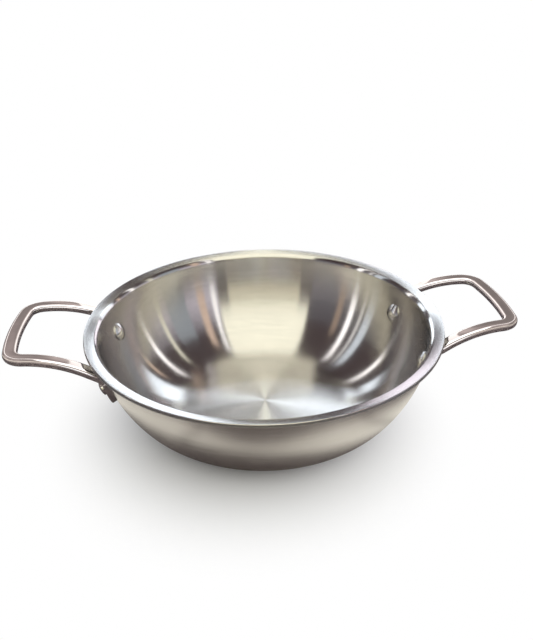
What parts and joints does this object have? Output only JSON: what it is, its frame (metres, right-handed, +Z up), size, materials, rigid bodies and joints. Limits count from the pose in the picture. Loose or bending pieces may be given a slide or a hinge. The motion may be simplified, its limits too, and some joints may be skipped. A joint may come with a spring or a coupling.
{
  "type": "kadai",
  "caption": "Round kadai with a flared lip, a small flat base and two riveted loop handles, in brushed and polished stainless steel.",
  "frame": {"origin": "centre of the flat underside of the base", "axes": "+X through the right handle, +Y to the back, +Z up out of the bowl"},
  "size_m": [0.309, 0.2198, 0.0682],
  "materials": {
    "outer_steel": "brushed around the bowl",
    "aluminium_core": "plain, seen only as a line in the cut edge",
    "inner_steel": "finely brushed in circles",
    "polished_handles": "mirror-polished stainless steel",
    "polished_rivets": "mirror-polished stainless steel"
  },
  "bodies": {
    "root": {"outer_layer": "outer_steel", "core_layer": "aluminium_core", "inner_layer": "inner_steel", "handle_left": "polished_handles", "handle_right": "polished_handles", "rivet_left_front": "polished_rivets", "rivet_left_back": "polished_rivets", "rivet_right_front": "polished_rivets", "rivet_right_back": "polished_rivets"}
  },
  "joints": []
}
